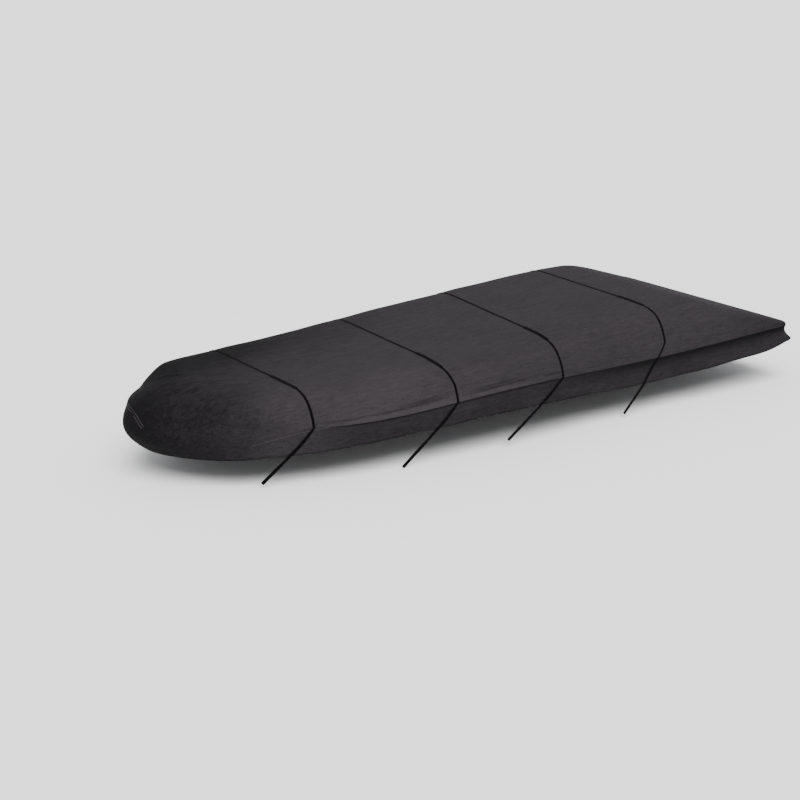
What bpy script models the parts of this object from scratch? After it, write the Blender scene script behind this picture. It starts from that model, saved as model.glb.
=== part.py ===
"""A fitted cover for an open boat of about 4.7 m, in the taut shape it has on the boat.

Metres, +Z up, +X to the bow, +Y to port. The origin is under the middle of the top, on its
inner face, where the cover rests on what holds it up. The cover is a hollow shell of cloth: a
top panel, a skirt band sewn to its edge, and four webbing straps that lie across it.

Stations are measured forwards from the transom, and heights from the gunwale amidships.
A rib is the line on the top from the middle out to one point of the gunwale line. The ribs
cross the boat along its length, and fan out round a point at the stern and one at the bow.
"""

import math

import bpy
import numpy as np

# ---- the cloth ----
CLOTH = 0.0020            # thickness of the cloth
GAP = 0.0004              # air between neighbouring pieces
HEM_EXTRA = 0.0012        # how far the folded hem stands proud of the skirt
HEM_SHARE = 0.14          # part of the skirt's depth that is folded hem

# ---- plan and height of the gunwale line, from the transom to the nose ----
LENGTH = 4.693            # transom to nose, at the gunwale line
BOW_START = 3.078         # station from which the plan closes towards the nose
BOW_POWER_LONG = 2.252    # powers of the rounded bow: along the boat and across it
BOW_POWER_WIDE = 1.600
CORNER_RADIUS = 0.07      # plan radius of the two stern corners
EDGE_ROLL = 0.015         # radius with which the top turns down at its edge
COLUMNS = ("station", "half_breadth", "gunwale", "crown", "skirt_depth")
SECTIONS = (
    (0.0, 0.893, 0.022, 0.269, 0.156),
    (1.2, 0.865, -0.016, 0.268, 0.177),
    (2.4, 0.879, 0.000, 0.181, 0.162),
    (3.6, 0.785, -0.054, 0.135, 0.151),
    (4.8, 0.825, 0.048, 0.181, 0.288),
)

# ---- how the top falls from the middle to its edge ----
SPINE_AFT = 0.857         # stations of the two points that the ribs fan out from
SPINE_FORE = 4.271
SHOULDER_POWER = 10.51    # a flat middle with a tight shoulder along the sides
BOW_POWER = 2.059         # a round fall at the bow
SHOULDER_ROUND = 1.265
STERN_SOFTNESS = 0.155    # the straight fall to the transom, rounded off at its top
FAN_RATE = 1.25           # how fast a rib that turns forwards takes on the bow's fall

# ---- the skirt at the bow and at the stern ----
STEM_RAKE = 0.085         # how far the hem lies aft of the nose on the stem
NOSE_BULGE = 0.072        # how far the skirt swells forward between nose and hem
SKIRT_FLARE = 0.02        # share by which the hem is wider than the nose's gunwale line
FLARE_RATE = 1.5          # how soon the flare reaches its full width towards the nose

STERN_REACH = 2.4         # station from which the skirt takes on its stern shape, going aft
STERN_TUCK = 0.013        # there it hollows in under the gunwale line
TUCK_START = 0.15         # share of the depth over which the hollow begins
STERN_FLARE = 0.038       # and its hem stands out
CORNER_LIFT = 0.045       # the hem rises at the stern corners
CORNER_REACH = 0.16       # half length of that rise

# ---- unevenness: straps press the cloth in, and it swells and ripples between them ----
STRAP_DENT = 0.004        # depth and half width of the hollow that a strap presses
STRAP_DENT_WIDTH = 0.045
DENT_MIDDLE = 0.35        # share of that depth which is left at the middle of the top
EDGE_CALM = 0.02          # share of a rib beside the edge in which the waves die out
STARBOARD_PHASE = 1.7     # shift of every wave on the starboard side
TOP_RIPPLES = (           # height, length, phase, and the two shares of a rib it lies between
    (0.0030, 0.62, 0.4, 0.55, 0.95),
    (0.0022, 0.39, 2.1, 0.62, 0.98),
    (0.0025, 0.97, 1.3, 0.10, 0.80),
)
SKIRT_RIPPLES = (         # the same columns: waves that grow from the gunwale line down
    (0.0035, 0.71, 0.9, -1.0, 1.0),
    (0.0025, 0.43, 2.6, -1.0, 1.0),
)
FOLD_FROM = 1.95          # a stretched fold beside the port gunwale: its stations,
FOLD_TO = 3.75            # its distance from the edge, its height and its half width
FOLD_INSET = 0.040
FOLD_HEIGHT = 0.007
FOLD_WIDTH = 0.016
FOLD_DRIFT = 0.02         # how fast it runs in from the edge, going forwards
FOLD_RATE = 1.6           # how soon it reaches its full height from its ends

# ---- the straps ----
STRAP_WIDTH = 0.015
STRAP_THICK = 0.0018
STRAP_LIFT = 0.0009       # air under a strap, for the waves of the cloth between its points
LAP_WIDTH = 0.020         # the second layer that is sewn on near the port shoulder
TURN_RUN = 0.09           # run forwards of a strap that turns before it meets the gunwale
TURN_RIBS = 4             # and the ribs that it crosses there
TAIL_LEAN = 0.085         # how far the tails lean in, for each metre that they go down
TAIL_STEP = 0.06          # length of one piece of a tail
TAIL_FIRST = 0.022        # where a tail has turned into its own direction
TAIL_CLEAR = 0.0030       # air between a tail and the skirt's hem
TAIL_RELEASE = 0.6        # share of the skirt's depth over which a tail gains that air
LAP_MARGIN = 0.01         # least distance between two points of a lap, as a share
STRAP_COLUMNS = (
    "name", "station", "skew", "turn_share", "slant", "tail_end", "lap_from", "lap_to",
)
STRAPS = (                # station where it crosses the middle; skew: run forwards for each metre
    ("aft", 1.146, 0.045, 0.980, 0.816, -0.378, 0.326, 0.600),
    ("mid", 2.019, 0.095, 1.0, 1.218, -0.360, 0.412, 0.686),
    ("fore", 2.876, 0.027, 1.0, 1.010, -0.404, 0.364, 0.655),
    ("bow", 3.862, -0.046, 1.0, 0.928, -0.382, 0.206, 0.500),
)                         # to port; slant: run forwards for each metre that the tail goes down

# ---- how finely the sheets are divided ----
RIB_SPACING = 0.16
TRANSOM_RIBS = 9
STERN_RIBS = (0.15, 0.26) # stations of extra ribs beside the stern corners
CORNER_RIBS = 4
NOSE_RIBS = 10
RINGS = 12
SKIRT_ROWS = (0.0, 0.12, 0.3, 0.6, 1 - HEM_SHARE - 0.01, 1 - HEM_SHARE, 1.0)
PROBE_ALONG = 0.004       # steps with which the slope of the top is measured under a strap
PROBE_DOWN = 0.002
SHARP_ANGLE = 40          # degrees from which an edge is shaded as an edge

# ---- where the origin is ----
MOUNT_STATION = 2.4

CLOTH_COLOUR = (0.045, 0.045, 0.048, 1)
WEBBING_COLOUR = (0.012, 0.011, 0.011, 1)


def smooth_step(t):
    """0 below 0, 1 above 1, and an even S between."""
    t = np.clip(t, 0.0, 1.0)
    return t * t * (3 - 2 * t)


def section(column, station):
    """A column of SECTIONS at any station, on a smooth curve through the rows."""
    table = np.array(SECTIONS)
    knots, values = table[:, 0], table[:, COLUMNS.index(column)]
    slopes = np.gradient(values, knots)
    station = np.clip(np.asarray(station, float), knots[0], knots[-1])
    i = np.clip(np.searchsorted(knots, station) - 1, 0, len(knots) - 2)
    span = knots[i + 1] - knots[i]
    t = (station - knots[i]) / span
    start = (2 * t**3 - 3 * t**2 + 1) * values[i] + (t**3 - 2 * t**2 + t) * span * slopes[i]
    end = (3 * t**2 - 2 * t**3) * values[i + 1] + (t**3 - t**2) * span * slopes[i + 1]
    return start + end


def bow_share(station):
    """0 where the bow starts to close and 1 at the nose."""
    return np.clip((station - BOW_START) / (LENGTH - BOW_START), 0.0, 1.0)


def half_breadth(station):
    """Half the width at a station: the table's value, closed to a rounded nose."""
    closing = bow_share(station) ** BOW_POWER_LONG
    return section("half_breadth", station) * (1 - closing) ** (1 / BOW_POWER_WIDE)


def corner_breadth(station):
    """Half the width of the plan, with the rounded stern corners taken off."""
    inside = CORNER_RADIUS - np.clip(station, 0.0, CORNER_RADIUS)
    return half_breadth(station) - CORNER_RADIUS + np.sqrt(CORNER_RADIUS**2 - inside**2)


def spread(anchors):
    """Stations from the first anchor up to the last, which is left out, evenly between them."""
    runs = []
    for start, end in zip(anchors[:-1], anchors[1:]):
        count = max(1, round((end - start) / RIB_SPACING))
        runs.append(np.linspace(start, end, count, endpoint=False))
    return np.concatenate(runs)


def skew_shift(spine, side):
    """How far forward of its middle a rib reaches the gunwale: the skew of the straps."""
    knots, shifts = [SPINE_AFT], [0.0]
    for row in STRAPS:
        values = dict(zip(STRAP_COLUMNS, row))
        for end in (-1, 1):
            knots.append(values["station"] + end * STRAP_WIDTH / 2)
            shifts.append(values["skew"] * float(half_breadth(values["station"])))
    return side * np.interp(spine, knots + [SPINE_FORE], shifts + [0.0])


def gunwale_outline(side):
    """Station, distance from the middle, and the station of its rib's inner end, for points
    of the gunwale line on one side, from the middle of the transom to the nose.
    """
    half = float(half_breadth(0.0))
    across = np.linspace(0, half - CORNER_RADIUS, TRANSOM_RIBS, endpoint=False)
    transom = np.column_stack([np.zeros(TRANSOM_RIBS), across])
    turn = np.linspace(0, math.pi / 2, CORNER_RIBS, endpoint=False)
    corner = np.column_stack([
        CORNER_RADIUS * (1 - np.cos(turn)),
        half - CORNER_RADIUS * (1 - np.sin(turn)),
    ])
    anchors = [SPINE_AFT]
    for row in STRAPS:
        values = dict(zip(STRAP_COLUMNS, row))
        anchors += [values["station"] - STRAP_WIDTH / 2, values["station"] + STRAP_WIDTH / 2]
        if values["turn_share"] < 1:
            anchors += list(anchors[-1] + np.linspace(0, TURN_RUN, TURN_RIBS + 1)[1:])
    spine = spread(anchors + [SPINE_FORE])
    start = math.asin(bow_share(SPINE_FORE) ** (BOW_POWER_LONG / 2))
    round_nose = np.linspace(start, math.pi / 2, NOSE_RIBS)
    nose = BOW_START + (LENGTH - BOW_START) * np.sin(round_nose) ** (2 / BOW_POWER_LONG)
    aft = spread([CORNER_RADIUS, *STERN_RIBS, SPINE_AFT])
    stations = np.concatenate([aft, spine + skew_shift(spine, side), nose])
    flank = np.column_stack([stations, half_breadth(stations)])
    flank[-1] = (LENGTH, 0.0)
    points = np.vstack([transom, corner, flank])
    inner = np.clip(points[:, 0], SPINE_AFT, SPINE_FORE)
    first = TRANSOM_RIBS + CORNER_RIBS + len(aft)
    inner[first:first + len(spine)] = spine
    return np.column_stack([points, inner])


def whole_outline():
    """The outline all the way round: port side out, starboard side back."""
    starboard = gunwale_outline(-1)[-2:0:-1] * (1, -1, 1)
    return np.vstack([gunwale_outline(1), starboard])


def unit(vectors):
    """Vectors brought to length 1, and straight up where they have no length."""
    length = np.linalg.norm(vectors, axis=-1, keepdims=True)
    up = np.zeros_like(vectors)
    up[..., 2] = 1.0
    return np.where(length > 1e-9, vectors / np.maximum(length, 1e-9), up)


def outward(grid):
    """Outward directions on a grid whose first index runs round the boat, closed on itself."""
    along = np.roll(grid, -1, axis=0) - np.roll(grid, 1, axis=0)
    down = np.gradient(grid, axis=1)
    return unit(np.cross(along, down))


def ripples(rows, station, share, side):
    """Sum of the waves of a table. The starboard side has them at another phase."""
    total = np.zeros(np.broadcast(station, share).shape)
    for height, length, phase, low, high in rows:
        middle, half = (low + high) / 2, (high - low) / 2
        fade = np.clip(1 - ((share - middle) / half) ** 2, 0.0, 1.0)
        angle = 2 * math.pi * station / length + phase + STARBOARD_PHASE * (side < 0)
        total += height * fade * np.sin(angle)
    return total


def strap_dents(spine, share):
    """Hollows under the straps, fading out at the middle of the top."""
    total = np.zeros(np.broadcast(spine, share).shape)
    for row in STRAPS:
        away = (spine - row[STRAP_COLUMNS.index("station")]) / STRAP_DENT_WIDTH
        depth = DENT_MIDDLE + (1 - DENT_MIDDLE) * smooth_step(share)
        total -= STRAP_DENT * depth * np.exp(-(away**2))
    return total


def gunwale_fold(station, inset, side):
    """The stretched fold that runs along the port gunwale, fading out at both ends."""
    middle, half = (FOLD_FROM + FOLD_TO) / 2, (FOLD_TO - FOLD_FROM) / 2
    fade = smooth_step(FOLD_RATE * (1 - np.abs(station - middle) / half))
    away = (inset - FOLD_INSET - FOLD_DRIFT * (station - middle)) / FOLD_WIDTH
    return FOLD_HEIGHT * fade * (side > 0) * np.exp(-(away**2))


def shoulder(share, power):
    """1 in the middle of the top and 0 at its edge: the higher the power, the flatter."""
    return np.maximum(1 - share**power, 0.0) ** (1 / SHOULDER_ROUND)


def stern_fall(station):
    """1 at the stern end of the ridge, and falling evenly to 0 at the transom."""
    away = np.clip(1 - station / SPINE_AFT, 0.0, 1.0)
    soft = STERN_SOFTNESS
    return 1 - (np.hypot(away, soft) - soft) / (math.hypot(1, soft) - soft)


def crown_share(x, y, r, heading):
    """Share of the crown's height at points of the ribs, which head forwards by `heading`."""
    across = np.clip(np.abs(y) / corner_breadth(np.clip(x, 0.0, BOW_START)), 0.0, 1.0)
    stern = shoulder(across, SHOULDER_POWER) * stern_fall(x)
    fore = smooth_step(heading * FAN_RATE)
    side = shoulder(r, SHOULDER_POWER)
    rest = side + (shoulder(r, BOW_POWER) - side) * fore
    return np.where(heading < 0, stern, rest)


def top_grid(outline, rings):
    """Outer face of the top: one row of points for each rib, from the middle to the edge.

    The height is the gunwale's, plus the crown above it times a share that falls from 1 in
    the middle to 0 at the edge: with a tight shoulder along the sides, evenly to the transom,
    and with a round fall at the bow.
    """
    station, across, spine = (column[:, None] for column in outline.T)
    gunwale = section("gunwale", station)
    reach = np.hypot(station - spine, across)
    heading = (station - np.clip(station, SPINE_AFT, SPINE_FORE)) / reach
    r = rings[None, :]
    x = spine + r * (station - spine)
    y = r * across
    crown = section("crown", np.clip(x, SPINE_AFT, SPINE_FORE))
    inset = (1 - r) * reach
    near = np.clip(EDGE_ROLL - inset, 0, EDGE_ROLL)
    roll = EDGE_ROLL - np.sqrt(EDGE_ROLL**2 - near**2)
    z = gunwale + (crown - gunwale) * crown_share(x, y, r, heading) - roll
    grid = np.stack([x, y, z], axis=2)

    side = np.where(across < 0, -1, 1)
    relief = ripples(TOP_RIPPLES, x, r, side) + strap_dents(spine, r)
    relief += gunwale_fold(x, inset, side)
    relief *= smooth_step((1 - r) / EDGE_CALM) * (np.abs(across) > 0)
    return grid, relief


def top_surface(outline, rings):
    """Outer face of the top with its unevenness, and its outward directions."""
    grid, relief = top_grid(outline, rings)
    normals = outward(grid)
    normals[:, 0] = (0, 0, 1)
    grid = grid + relief[..., None] * normals
    normals = outward(grid)
    normals[:, 0] = (0, 0, 1)
    normals[:, -1, 2] = 0.0
    return grid, unit(normals)


def stem_shift(fore, share):
    """How far the skirt reaches forward of the gunwale line, at a share of its depth."""
    return (NOSE_BULGE * np.sin(math.pi * share) - STEM_RAKE * share) * fore**3


def skirt_breadth(station, share, side):
    """Half the width over the skirt's outer face at a station and a share of its depth."""
    above = station - stem_shift(bow_share(station), share)
    flare = 1 + SKIRT_FLARE * smooth_step(FLARE_RATE * bow_share(above)) * share
    return half_breadth(above) * flare + skirt_waves(station, share, side) + stern_shape(station, share)


def skirt_waves(station, share, side):
    """Waves of the hanging cloth, growing from the gunwale line down."""
    return ripples(SKIRT_RIPPLES, station, np.zeros_like(share), side) * smooth_step(share)


def corner_lift(station, across):
    """How much higher the hem is at a point of the outline than in SECTIONS."""
    away = np.hypot(station, half_breadth(0.0) - np.abs(across)) / CORNER_REACH
    return CORNER_LIFT * np.exp(-(away**2))


def stern_shape(station, share):
    """How far the skirt stands out at the stern: hollow under the gunwale, flared at the hem."""
    aft = smooth_step(1 - station / STERN_REACH)
    hollow = STERN_TUCK * np.sin(math.pi * share) * smooth_step(share / TUCK_START)
    return (STERN_FLARE * share**2 * aft - hollow) * aft


def skirt_surface(outline, rows):
    """Outer face of the skirt, hung from the edge of the top, and its outward directions."""
    station, across = outline[:, :1], outline[:, 1:2]
    fore = bow_share(station)
    share = np.asarray(rows)[None, :]
    x = station + stem_shift(fore, share)
    y = across * (1 + SKIRT_FLARE * smooth_step(FLARE_RATE * fore) * share)
    depth = section("skirt_depth", station) - EDGE_ROLL - corner_lift(station, across)
    z = section("gunwale", station) - EDGE_ROLL - GAP - share * depth
    grid = np.stack([x, y, z], axis=2)
    side = np.sign(across)
    relief = skirt_waves(x, share, side) * np.abs(side) + HEM_EXTRA * (share >= 1 - HEM_SHARE)
    normals = outward(grid)
    grid = grid + (relief + stern_shape(station, share))[..., None] * normals
    normals[:, 0, 2] = 0.0
    return grid, unit(normals)


def origin_height():
    """Height of the inner face of the top over the mount."""
    return float(section("crown", MOUNT_STATION)) - CLOTH


def place(points):
    """From stations and heights to the part's own frame."""
    return np.asarray(points) - (MOUNT_STATION, 0, origin_height())


def paint(name, colour, roughness):
    material = bpy.data.materials.new(name)
    material.use_nodes = True
    shader = material.node_tree.nodes["Principled BSDF"]
    shader.inputs["Base Color"].default_value = colour
    shader.inputs["Roughness"].default_value = roughness
    shader.inputs["Metallic"].default_value = 0.0
    return material


def add_object(name, points, faces, colour, roughness):
    """A named object from points and faces, each point used once, shaded smooth."""
    keys, index = np.unique(np.round(points, 6), axis=0, return_inverse=True)
    index = index.ravel()
    kept = []
    for face in faces:
        ring = []
        for corner in index[list(face)]:
            if corner not in ring:
                ring.append(int(corner))
        if len(ring) > 2:
            kept.append(ring)
    mesh = bpy.data.meshes.new(name)
    mesh.from_pydata(keys.tolist(), [], kept)
    mesh.validate()
    mesh.shade_smooth()
    mesh.set_sharp_from_angle(angle=math.radians(SHARP_ANGLE))
    mesh.materials.append(paint(name, colour, roughness))
    item = bpy.data.objects.new(name, mesh)
    bpy.context.scene.collection.objects.link(item)
    return item


def grid_faces(ribs, rows, offset, flip):
    """Triangles of a grid whose ribs close on themselves, cut the same way on both faces."""
    faces = []
    for i in range(ribs):
        k = (i + 1) % ribs
        for j in range(rows - 1):
            quad = [i * rows + j, i * rows + j + 1, k * rows + j + 1, k * rows + j]
            a, b, c, d = (offset + corner for corner in quad)
            for triangle in ([a, b, c], [a, c, d]):
                faces.append(triangle[::-1] if flip else triangle)
    return faces


def edge_faces(ribs, rows, column, inner, flip):
    """Quads that join outer and inner face along one edge of the sheet."""
    faces = []
    for i in range(ribs):
        k = (i + 1) % ribs
        a, b = i * rows + column, k * rows + column
        quad = [a, inner + a, inner + b, b]
        faces.append(quad[::-1] if flip else quad)
    return faces


def make_sheet(name, grid, normals, open_middle):
    """A closed solid from an outer face and the cloth's thickness. The top has no middle edge."""
    ribs, rows = grid.shape[:2]
    inner = grid - CLOTH * normals
    points = place(np.concatenate([grid.reshape(-1, 3), inner.reshape(-1, 3)]))
    half = ribs * rows
    faces = grid_faces(ribs, rows, 0, True) + grid_faces(ribs, rows, half, False)
    faces += edge_faces(ribs, rows, rows - 1, half, True)
    if open_middle:
        faces += edge_faces(ribs, rows, 0, half, False)
    return add_object(name, points, faces, CLOTH_COLOUR, 0.85)


def ribbon(name, aft_edge, fore_edge, aft_out, fore_out, lift, thick):
    """A closed flat band between two edge lines, lifted off and thickened outwards."""
    low, high = lift, lift + thick
    corners = [
        aft_edge + low * aft_out,
        fore_edge + low * fore_out,
        fore_edge + high * fore_out,
        aft_edge + high * aft_out,
    ]
    points = place(np.stack(corners, axis=1).reshape(-1, 3))
    count = len(aft_edge)
    last = 4 * count - 4
    faces = [[3, 2, 1, 0], [last, last + 1, last + 2, last + 3]]
    for i in range(0, last, 4):
        for c in range(4):
            d = (c + 1) % 4
            faces.append([i + d, i + 4 + d, i + 4 + c, i + c])
    return add_object(name, points, faces, WEBBING_COLOUR, 0.7)


def rib_line(spines, shares, side):
    """Points and outward directions on the top, at one share each of ribs that start there."""
    points, normals = [], []
    for spine, share in zip(spines, shares):
        near = spine + PROBE_ALONG * np.array([-1, 0, 1])
        station = near + skew_shift(near, side)
        outline = np.column_stack([station, side * half_breadth(station), near])
        rings = np.clip(share + PROBE_DOWN * np.array([-1, 0, 1]), 0.0, 1.0)
        grid, relief = top_grid(outline, rings)
        along = grid[2, 1] - grid[0, 1]
        down = grid[1, 2] - grid[1, 0]
        normal = np.cross(along, down) * side
        if share >= 1.0:
            normal[2] = 0.0
        normal = unit(normal)
        if share <= 0.0:
            normal = np.array([0.0, 0.0, 1.0])
        points.append(grid[1, 1] + relief[1, 1] * normal)
        normals.append(normal)
    return np.array(points), np.array(normals)


def strap_side(values, side):
    """Both edges of a strap on one side of the top, from the middle out to the gunwale."""
    shares = ring_shares()
    station = np.full(len(shares), values["station"])
    heights = rib_line(station, shares, side)[0][:, 2]
    turn = np.interp(values["turn_share"], shares, heights)
    station = station + values["slant"] * np.clip(turn - heights, 0, None)
    return [rib_line(station + end * STRAP_WIDTH / 2, shares, side) for end in (-1, 1)]


def tail(values, rim, side):
    """Both edges of a tail: on the skirt down to its hem, then straight on, leaning in."""
    slant = values["slant"]
    size = math.hypot(slant, 1)
    along = np.array([slant, 0, -1]) / size
    wide = np.array([1, 0, slant]) / size
    length = (rim[2] - values["tail_end"]) * size
    count = round(length / TAIL_STEP) + 1
    centre = rim + np.linspace(TAIL_FIRST, length, count)[:, None] * along
    depth = section("skirt_depth", rim[0]) - EDGE_ROLL
    edges = []
    for end in (-1, 1):
        edge = centre + end * wide * STRAP_WIDTH / 2
        down = rim[2] - edge[:, 2]
        on_skirt = np.minimum(down, depth)
        share = on_skirt / depth
        reach = skirt_breadth(edge[:, 0] - slant * (down - on_skirt), share, side)
        before = skirt_breadth(edge[:, 0] - slant * (down - on_skirt + TAIL_STEP), share, side)
        inwards = (reach - before) / TAIL_STEP - TAIL_LEAN
        reach = reach + inwards * (down - on_skirt)
        edge[:, 1] = side * (reach + (TAIL_CLEAR + HEM_EXTRA) * smooth_step(share / TAIL_RELEASE))
        edges.append(edge)
    return edges, np.tile([0.0, float(side), 0.0], (count, 1))


def make_strap(row):
    """One strap: tail, port shoulder, across the top, starboard shoulder, tail."""
    values = dict(zip(STRAP_COLUMNS, row))
    halves = []
    for side in (1, -1):
        (aft, aft_out), (fore, fore_out) = strap_side(values, side)
        (tail_aft, tail_fore), tail_out = tail(values, (aft[-1] + fore[-1]) / 2, side)
        halves.append((
            np.vstack([aft, tail_aft]),
            np.vstack([fore, tail_fore]),
            np.vstack([aft_out, tail_out]),
            np.vstack([fore_out, tail_out]),
        ))
    lines = [np.vstack([port[::-1], starboard[1:]]) for port, starboard in zip(*halves)]
    return ribbon("strap_" + values["name"], *lines, STRAP_LIFT, STRAP_THICK)


def make_lap(row):
    """The second layer of webbing that lies on a strap, inside its port shoulder."""
    values = dict(zip(STRAP_COLUMNS, row))
    half = float(half_breadth(values["station"]))
    first, last = values["lap_from"] / half, values["lap_to"] / half
    rings = ring_shares()
    inside = rings[(rings > first + LAP_MARGIN) & (rings < last - LAP_MARGIN)]
    shares = np.concatenate([[last], inside[::-1], [first]])
    station = np.full(len(shares), values["station"])
    aft, aft_out = rib_line(station - LAP_WIDTH / 2, shares, 1)
    fore, fore_out = rib_line(station + LAP_WIDTH / 2, shares, 1)
    lift = STRAP_LIFT + STRAP_THICK + GAP
    return ribbon("lap_" + values["name"], aft, fore, aft_out, fore_out, lift, STRAP_THICK)


def ring_shares():
    """Shares of a rib at which the top has its points, closer together at the edge."""
    return np.sin(np.linspace(0, math.pi / 2, RINGS))


def build():
    for item in list(bpy.data.objects):
        bpy.data.objects.remove(item, do_unlink=True)
    outline = whole_outline()
    make_sheet("cover_top", *top_surface(outline, ring_shares()), False)
    make_sheet("cover_skirt", *skirt_surface(outline, SKIRT_ROWS), True)
    for row in STRAPS:
        make_strap(row)
        make_lap(row)


build()
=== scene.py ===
import math

import bmesh
import bpy
import numpy as np
from mathutils import Matrix, Vector


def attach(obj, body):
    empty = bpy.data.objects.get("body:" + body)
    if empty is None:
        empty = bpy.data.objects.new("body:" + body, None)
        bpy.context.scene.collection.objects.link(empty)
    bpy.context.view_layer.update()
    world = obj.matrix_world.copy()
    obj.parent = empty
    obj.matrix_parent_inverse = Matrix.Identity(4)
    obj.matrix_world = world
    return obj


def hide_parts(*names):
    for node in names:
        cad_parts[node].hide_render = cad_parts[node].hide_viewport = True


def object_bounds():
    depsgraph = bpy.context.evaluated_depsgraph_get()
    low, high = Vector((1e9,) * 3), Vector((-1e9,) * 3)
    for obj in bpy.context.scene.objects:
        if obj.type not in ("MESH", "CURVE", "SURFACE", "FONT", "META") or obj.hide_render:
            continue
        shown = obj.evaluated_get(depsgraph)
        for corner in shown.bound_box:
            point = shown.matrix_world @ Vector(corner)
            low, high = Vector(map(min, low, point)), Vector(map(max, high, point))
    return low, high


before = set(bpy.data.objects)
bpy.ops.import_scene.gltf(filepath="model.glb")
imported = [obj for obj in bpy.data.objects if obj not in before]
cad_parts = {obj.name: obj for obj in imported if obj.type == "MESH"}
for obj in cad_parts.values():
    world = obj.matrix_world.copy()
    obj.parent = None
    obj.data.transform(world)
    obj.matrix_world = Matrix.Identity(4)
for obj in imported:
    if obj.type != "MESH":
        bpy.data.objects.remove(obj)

cad_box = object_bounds()


# ---- The top panel ----
# One panel of coated, woven polyester, drawn taut in a crown. Its edge turns down at the gunwale
# line, where it is sewn to the skirt. Heights are the gunwale line's, plus the crown's over it.

CLOTH = 0.0020            # thickness of the cloth
LENGTH = 4.693            # transom to nose, at the gunwale line
BOW_START = 3.078         # station from which the plan closes towards the nose
BOW_POWER_LONG = 2.252    # powers of the rounded bow: along the cover and across it
BOW_POWER_WIDE = 1.600
CORNER_RADIUS = 0.07      # plan radius of the two stern corners
EDGE_ROLL = 0.015         # radius with which the top turns down at its edge
SECTION_COLUMNS = ("station", "half_breadth", "gunwale", "crown", "skirt_depth")
SECTIONS = np.array((
    (0.0, 0.893, 0.022, 0.269, 0.156),
    (1.2, 0.865, -0.016, 0.268, 0.177),
    (2.4, 0.879, 0.000, 0.181, 0.162),
    (3.6, 0.785, -0.054, 0.135, 0.151),
    (4.8, 0.825, 0.048, 0.181, 0.288),
))
SPINE_AFT = 0.857         # stations of the two points that the ribs fan out from
SPINE_FORE = 4.271
SHOULDER_POWER = 10.51    # a flat middle with a tight shoulder along the sides
BOW_POWER = 2.059         # a round fall at the bow
SHOULDER_ROUND = 1.265
STERN_SOFTNESS = 0.155    # the straight fall to the transom, rounded off at its top
FAN_RATE = 1.25           # how fast a rib that turns forwards takes on the bow's fall
STRAP_WIDTH = 0.015
STRAP_COLUMNS = (
    "name", "station", "skew", "turn_share", "slant", "tail_end", "lap_from", "lap_to",
)
STRAPS = (                # the cloth is pressed in and skewed under them
    ("aft", 1.146, 0.045, 0.980, 0.816, -0.378, 0.326, 0.600),
    ("mid", 2.019, 0.095, 1.0, 1.218, -0.360, 0.412, 0.686),
    ("fore", 2.876, 0.027, 1.0, 1.010, -0.404, 0.364, 0.655),
    ("bow", 3.862, -0.046, 1.0, 0.928, -0.382, 0.206, 0.500),
)
STRAP_DENT = 0.004        # depth and half width of the hollow that a strap presses
STRAP_DENT_WIDTH = 0.045
DENT_MIDDLE = 0.35        # share of that depth which is left at the middle of the top
EDGE_CALM = 0.02          # share of a rib beside the edge in which the waves die out
STARBOARD_PHASE = 1.7     # shift of every wave on the starboard side
STARBOARD_CALM = 0.4      # there the cloth is drawn tighter: share of the waves' height that is left
CALM_SHARE = 0.3          # share of a rib over which they lose it
TOP_RIPPLES = (           # height, length, phase, and the two shares of a rib it lies between
    (0.0030, 0.62, 0.4, 0.55, 0.95),
    (0.0022, 0.39, 2.1, 0.62, 0.98),
    (0.0025, 0.97, 1.3, 0.10, 0.80),
)
FOLDS = (                 # beside the port gunwale: from, to, inset, drift, height, half width
    (1.95, 3.75, 0.040, 0.020, 0.0070, 0.016),
)
PLEATS = (                # the same, with the rise over the gunwale in place of the inset
    (2.90, 3.62, 0.036, -0.030, 0.0060, 0.0055),
    (2.92, 3.34, 0.056, -0.034, 0.0040, 0.0050),
    (2.26, 2.90, 0.032, -0.016, 0.0060, 0.0055),
    (2.42, 2.86, 0.048, -0.022, 0.0040, 0.0050),
    (2.03, 2.28, 0.034, -0.010, 0.0030, 0.0060),
    (3.50, 3.84, 0.024, -0.020, 0.0035, 0.0060),
)
FOLD_RATE = 1.6           # how soon a fold reaches its full height from its ends
PLEAT_SHADOW = 0.010      # a painted shadow line lies this far below each pleat,
PLEAT_DARK = 0.42         # and this is its share of the darkest tone
CREASE_DARK = 30.0        # the same share of painted shade in a crease, for each metre of its depth
PAINTED_EDGE_LIGHT = 0.26         # painted light: the cloth beside the port seam is paler, as light falls on it,
EDGE_LIGHT_RISE = 0.020   # up to about this height over it,
EDGE_LIGHT_SPAN = (1.95, 3.95)     # between these stations
RIM_SHADE = 0.85          # painted shade: the rim is dark to starboard and at the stern,
RIM_RUN = 0.016           # over this share of a rib,
RIM_TURN = 0.15           # and turns lighter over this distance from there
CRINKLE_LEAST = 0.80      # how crinkled the cloth is along the cover,
CRINKLE_FROM = 3.7        # and from where to where that rises to 1
CRINKLE_RUN = 0.5
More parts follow.
